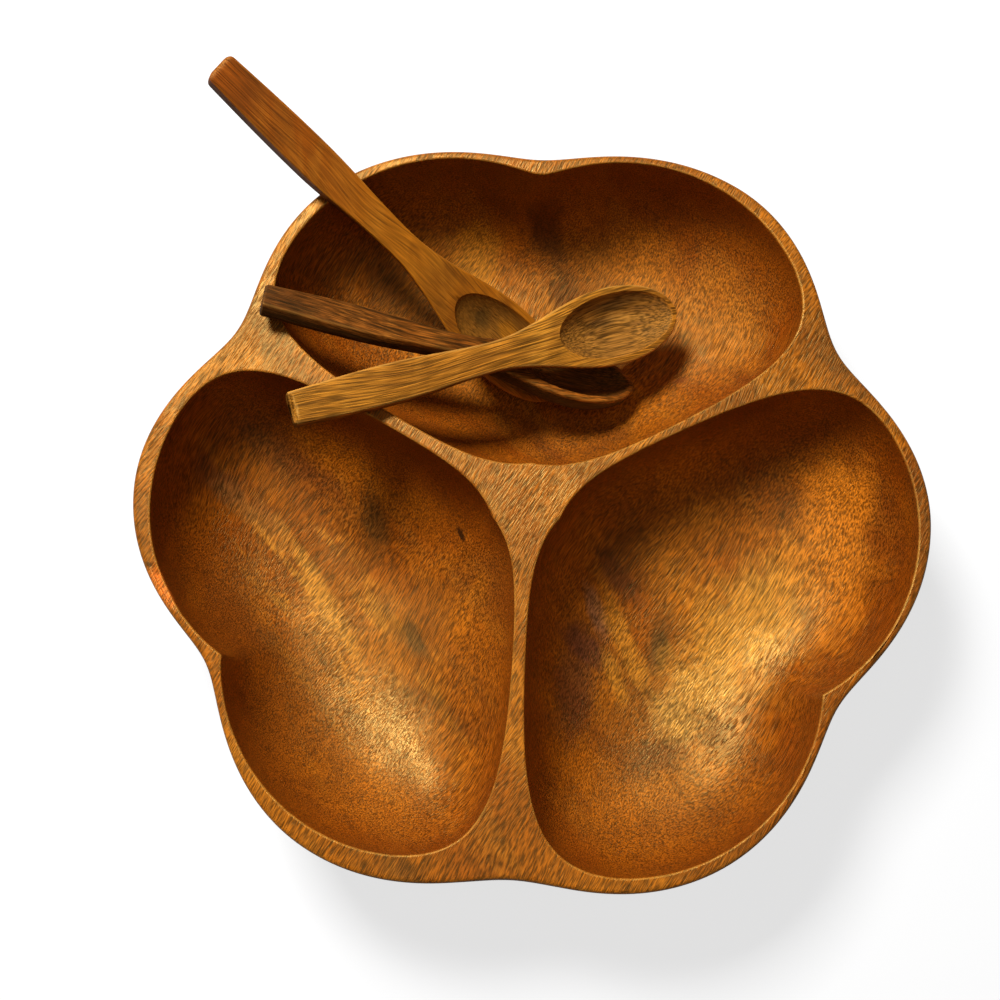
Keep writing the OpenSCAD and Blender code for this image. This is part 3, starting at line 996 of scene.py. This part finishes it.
# Places on the bowl: spot, half-lengths and heading of an oval, then its colour and strength
BOWL_SHIMMER = (((-50, -34, 9), (62, 20, 20), -52),)
BOWL_PATCHES = (
    ((12.8, -45, 14), (20, 8, 12), 80, tone(84, 42, 28), 0.6),
    ((15, -33, 13), (12, 4.5, 8), -35, tone(80, 40, 30), 0.65),
    ((18.8, -24, 11.5), (10, 3, 7), -65, tone(136, 94, 64), 0.55),
    ((24.5, -14, 11), (11, 5, 8), -50, tone(90, 42, 22), 0.75),
    ((25, -42, 10), (9, 2.6, 6), -65, tone(210, 136, 38), 0.55),
    ((36.5, -32, 8), (12, 5, 7), 80, tone(90, 60, 26), 0.85),
    ((48, -77, 16), (20, 11, 12), 15, tone(122, 58, 10), 0.45),
    ((27, -31, 9), (18, 4, 8), -62, tone(204, 130, 34), 0.6),
    ((-43, -2, 10), (14, 5, 6), -80, tone(88, 54, 18), 0.7),
    ((-30, -34, 8), (9, 3, 5), -58, tone(80, 50, 22), 0.8),
    ((-72, -6, 14), (30, 4, 12), -40, tone(196, 120, 40), 0.6),
    ((-80, 2, 18), (26, 5, 12), -38, tone(92, 48, 30), 0.55),
    ((-66, 12, 14), (30, 6, 12), -38, tone(92, 48, 22), 0.5),
    ((-56, -24, 8), (26, 3.4, 8), -56, tone(212, 138, 44), 0.7),
    ((36, -62, 12), (13, 6, 7), 30, tone(88, 44, 22), 0.6),
    ((-60, -54, 12), (32, 17, 20), -62, tone(112, 54, 10), 0.55),
    # Darker tone on the left compartment's left wall: partly the wood's own, partly painted shade
    ((-78, -26, 16), (26, 13, 18), -62, tone(108, 50, 10), 0.5),
    # Painted shadow of the crease in the top compartment, in this place and the next
    ((0, 82, 18), (22, 6, 14), -76, tone(74, 28, 8), 0.75),
    ((6, 68, 8), (9, 5, 8), -76, tone(84, 34, 10), 0.65),
    ((-20, 73, 11), (15, 9, 10), -70, tone(200, 124, 26), 0.6),
    ((20, 84, 18), (15, 4, 8), 84, tone(176, 100, 24), 0.5),
    ((45, 70, 16), (18, 5, 9), 75, tone(176, 100, 24), 0.45),
    # Painted highlight along the sheen in the right compartment
    ((58, -26, 9), (32, 15, 10), 44, tone(222, 148, 44), 0.65),
    ((80, -4, 17), (30, 14, 16), 84, tone(222, 126, 26), 0.65),
    # Painted highlight where the sheen in the right compartment is brightest
    ((45, -46, 8), (16, 9, 6), 40, tone(226, 164, 70), 0.5),
    ((52, 54, 18), (22, 13, 12), -60, tone(200, 118, 24), 0.4),
    ((78, 41, 40), (26, 10, 5), -35, tone(116, 58, 16), 0.6),
    ((96, 0, 40), (30, 6, 6), 90, tone(124, 64, 20), 0.5),
    ((-89.8, -26.8, 40), (8, 3, 4), -57, tone(236, 122, 42), 0.95))
# Duller places, and shinier ones with a strength below zero
BOWL_DULL = (
    ((30, 62, 14), (52, 32, 22), 0, 0.2),
    ((-70, -46, 14), (34, 18, 22), -62, 0.1),
    ((-34, -56, 8), (20, 10, 12), -58, -0.1),
    ((48, -42, 8), (30, 10, 12), 42, -0.08))
BOWL_MARKS = (
    ((-18.4, -6.3, 16.8), (3, 0.8, 3), -62, tone(36, 14, 6), 0.9),
    ((55.5, -53, 10.5), (1.6, 1.1, 3), 20, tone(70, 28, 12), 0.8),
    ((-48.3, -51.1, 9), (1.0, 0.9, 3), 0, tone(56, 24, 10), 0.9),
    ((39.3, 40.9, 13.4), (3, 1.3, 3), 10, tone(116, 44, 16), 0.7),
    ((-93.6, -21.6, 40), (1.6, 0.9, 3), -30, tone(70, 30, 12), 0.9))

# Places on the spoons
RED_PATCHES = (
    # Painted shadow that the rim casts into the hollow, at its end towards the handle
    ((-17, 54.5, 20), (5, 4, 5), -50, tone(70, 52, 22), 0.7),
    ((-9, 51.5, 17), (5, 3, 4), -36, tone(206, 128, 24), 0.6))
LIGHT_PATCHES = (
    ((24.5, 54.4, 27), (9, 1.8, 4), 10, tone(214, 148, 62), 0.7),
    ((19.7, 57.1, 28), (10, 1.6, 4), 20, tone(104, 76, 40), 0.5),
    ((16, 51.6, 27), (7, 1.5, 3), 18, tone(96, 66, 34), 0.5),
    ((30.5, 51, 27), (6, 2.4, 4), 8, tone(112, 78, 42), 0.6))

# The wall tone is painted shade on the compartments' walls
bowl_wood = wood("bowl_wood", Look(
    tones=(tone(88, 42, 14), tone(152, 74, 8), tone(180, 98, 14), tone(216, 146, 44)),
    grain=62, lean=5, flow=-50, stripes=0.2, figure=0.8, pores=0.5, roughness=0.37,
    edge_tone=tone(226, 160, 66), painted_wall_shade=tone(124, 52, 5), shimmer=BOWL_SHIMMER,
    patches=BOWL_PATCHES, marks=BOWL_MARKS, dull=BOWL_DULL))
# The hollow tone here is painted light: a greyer tone, about as light as the wood, over the shaded
# hollow. The sides and underside carry painted shade
red_wood = wood("red_brown_wood", Look(
    tones=(tone(96, 40, 4), tone(166, 92, 12), tone(186, 110, 20), tone(206, 136, 40)),
    grain=-36.6, lean=-25.1, offset=(10.0, 20.0, 3.0), strand=8.0, contrast=0.45, stripes=0.25,
    stripe_w=0.9, figure=0.2, pores=0.5, painted_side_shade=0.8, roughness=0.48, shine=0.5,
    end_tone=tone(144, 62, 4), edge_tone=tone(206, 124, 28), painted_hollow_shading=tone(146, 102, 40),
    patches=RED_PATCHES))
# The hollow tone here is painted shade, where the top spoon shades the hollow. The sides and
# underside carry painted shade
dark_wood = wood("dark_brown_wood", Look(
    tones=(tone(50, 26, 8), tone(140, 74, 18), tone(166, 92, 24), tone(190, 122, 44)),
    grain=-6.6, lean=-16.4, offset=(70.0, 5.0, 40.0), strand=6.0, stripes=0.85, stripe_w=0.8,
    figure=0.2, pores=0.5, worn=0.25, painted_side_shade=0.9, end_grain=0.5, roughness=0.5, shine=0.5,
    end_tone=tone(106, 56, 18), edge_tone=tone(186, 120, 46), painted_hollow_shading=tone(62, 38, 14)))
# The hollow tone here is painted shade in the hollow. The sides and underside carry painted shade
light_wood = wood("light_brown_wood", Look(
    tones=(tone(108, 60, 16), tone(180, 110, 28), tone(202, 130, 36), tone(220, 156, 60)),
    grain=22.6, lean=-13.8, offset=(-40.0, 60.0, 11.0), strand=9.0, stripes=0.75, stripe_w=0.6,
    figure=0.25, pores=0.5, painted_side_shade=0.5, end_grain=0.6, roughness=0.5, shine=0.5,
    edge_tone=tone(222, 160, 74), painted_hollow_shading=tone(116, 78, 36), patches=LIGHT_PATCHES))


# Pieces

def piece(mesh, name, body, node, material):
    """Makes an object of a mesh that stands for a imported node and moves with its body."""
    made = bpy.data.objects.new(name, mesh)
    bpy.context.scene.collection.objects.link(made)
    made.data.materials.append(material)
    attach(made, body)
    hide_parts(node)
    packed = frame["nodes"][node].data
    packed.materials.clear()
    packed.materials.append(material)


bottom_skin = spoon_mesh("bottom_spoon_skin", BOTTOM_PLACE, worn_end=1.6, more=2.2, flare=1.2)
middle_skin = spoon_mesh("middle_spoon_skin", MIDDLE_PLACE, worn_end=0.8, more=-1.1, flare=0.5)
top_skin = spoon_mesh("top_spoon_skin", TOP_PLACE, worn_end=0.5, flare=0.6, cut=1.5)
piece(bowl_mesh(), "carved_bowl", "bowl_body", "bowl", bowl_wood)
piece(bottom_skin, "carved_bottom_spoon",
      "bottom_spoon_body", "bottom_spoon", red_wood)
piece(middle_skin, "carved_middle_spoon",
      "middle_spoon_body", "middle_spoon", dark_wood)
piece(top_skin, "carved_top_spoon",
      "top_spoon_body", "top_spoon", light_wood)


# Floor, light and camera
FLOOR_HALF = 3000.0
FLOOR_LOW = -0.1
FLOOR_GREY = 0.35
FLOOR_ROUGHNESS = 0.9
# For the camera alone the floor glows, from the near strength round the bowl to 1 further off
FLOOR_FADE = (250.0, 1000.0)
FLOOR_GLOW_NEAR = 0.7
WORLD_STRENGTH = 0.05
LIGHT_AIM = (0, 0, 20)
WHITE = (1, 1, 1, 1)


def floor():
    corners = []
    for x, y in ((-1, -1), (1, -1), (1, 1), (-1, 1)):
        corners.append((x * FLOOR_HALF * MM, y * FLOOR_HALF * MM, FLOOR_LOW * MM))
    mesh = bpy.data.meshes.new("floor")
    mesh.from_pydata(corners, [], [(0, 1, 2, 3)])
    made = bpy.data.objects.new("floor", mesh)
    bpy.context.scene.collection.objects.link(made)
    mesh.materials.append(floor_material())


def floor_material():
    material = bpy.data.materials.new("floor_white")
    material.use_nodes = True
    nodes = Nodes(material.node_tree)
    shader = nodes.tree.nodes["Principled BSDF"]
    shader.inputs["Base Color"].default_value = (FLOOR_GREY, FLOOR_GREY, FLOOR_GREY, 1)
    shader.inputs["Roughness"].default_value = FLOOR_ROUGHNESS
    seen = nodes.put("ShaderNodeLightPath").outputs["Is Camera Ray"]
    far = nodes.length(nodes.where())
    glow = nodes.remap(far, [v * MM for v in FLOOR_FADE], FLOOR_GLOW_NEAR, 1.0)
    shader.inputs["Emission Color"].default_value = WHITE
    nodes.tree.links.new(nodes.times(seen, glow), shader.inputs["Emission Strength"])
    return material


def area_light(name, spot, size, power):
    """A square lamp that faces LIGHT_AIM. Power is in watts."""
    data = bpy.data.lights.new(name, "AREA")
    data.size = size * MM
    data.energy = power
    made = bpy.data.objects.new(name, data)
    made.location = Vector(spot) * MM
    direction = Vector(LIGHT_AIM) - Vector(spot)
    made.rotation_euler = direction.to_track_quat("-Z", "Y").to_euler()
    bpy.context.scene.collection.objects.link(made)


def world():
    made = bpy.data.worlds.new("studio")
    bpy.context.scene.world = made
    made.use_nodes = True
    nodes = Nodes(made.node_tree)
    ground = nodes.tree.nodes["Background"]
    seen = nodes.put("ShaderNodeLightPath").outputs["Is Camera Ray"]
    ground.inputs["Color"].default_value = WHITE
    strength = nodes.remap(seen, (0, 1), WORLD_STRENGTH, 1.0)
    nodes.tree.links.new(strength, ground.inputs["Strength"])


# The camera looks at the middle of the bowl's upper face from nearly straight above. That point is
# at MIDDLE_PIXEL in the picture
CAMERA_DISTANCE = 300.0
CAMERA_TILT = 11.55
CAMERA_HEADING = -83.2
CAMERA_ROLL = -3.0
CLIP_START = 10.0
SENSOR = 36.0
FOCAL_PIXELS = 1200.0
PICTURE_PIXELS = 1000.0
MIDDLE_PIXEL = (529.7, 498.1)


def camera():
    toward_plan = sin_deg(CAMERA_TILT) * ray(CAMERA_HEADING)
    down_plan = cos_deg(CAMERA_TILT) * ray(CAMERA_HEADING)
    toward = np.array([*toward_plan, cos_deg(CAMERA_TILT)])
    down_way = np.array([*down_plan, -sin_deg(CAMERA_TILT)])
    side_way = np.array([*ray(CAMERA_HEADING + 90), 0.0])
    turn = CAMERA_HEADING + CAMERA_ROLL
    right = cos_deg(turn) * down_way - sin_deg(turn) * side_way
    up = sin_deg(turn) * down_way + cos_deg(turn) * side_way
    spot = np.array([0, 0, BOWL_H]) + CAMERA_DISTANCE * toward
    data = bpy.data.cameras.new("camera")
    data.sensor_width = SENSOR
    data.lens = SENSOR * FOCAL_PIXELS / PICTURE_PIXELS
    data.shift_x = (PICTURE_PIXELS / 2 - MIDDLE_PIXEL[0]) / PICTURE_PIXELS
    data.shift_y = (MIDDLE_PIXEL[1] - PICTURE_PIXELS / 2) / PICTURE_PIXELS
    data.clip_start = CLIP_START * MM
    made = bpy.data.objects.new("camera", data)
    turned = Matrix([[*row] for row in np.stack([right, up, toward], 1)]).to_4x4()
    made.matrix_world = Matrix.Translation(Vector(spot) * MM) @ turned
    bpy.context.scene.collection.objects.link(made)
    bpy.context.scene.camera = made


floor()
world()
area_light("key", spot=(-280, 400, 690), size=240, power=8)
area_light("fill", spot=(100, -200, 1100), size=700, power=1.2)
camera()
bpy.context.scene.view_settings.view_transform = "Standard"
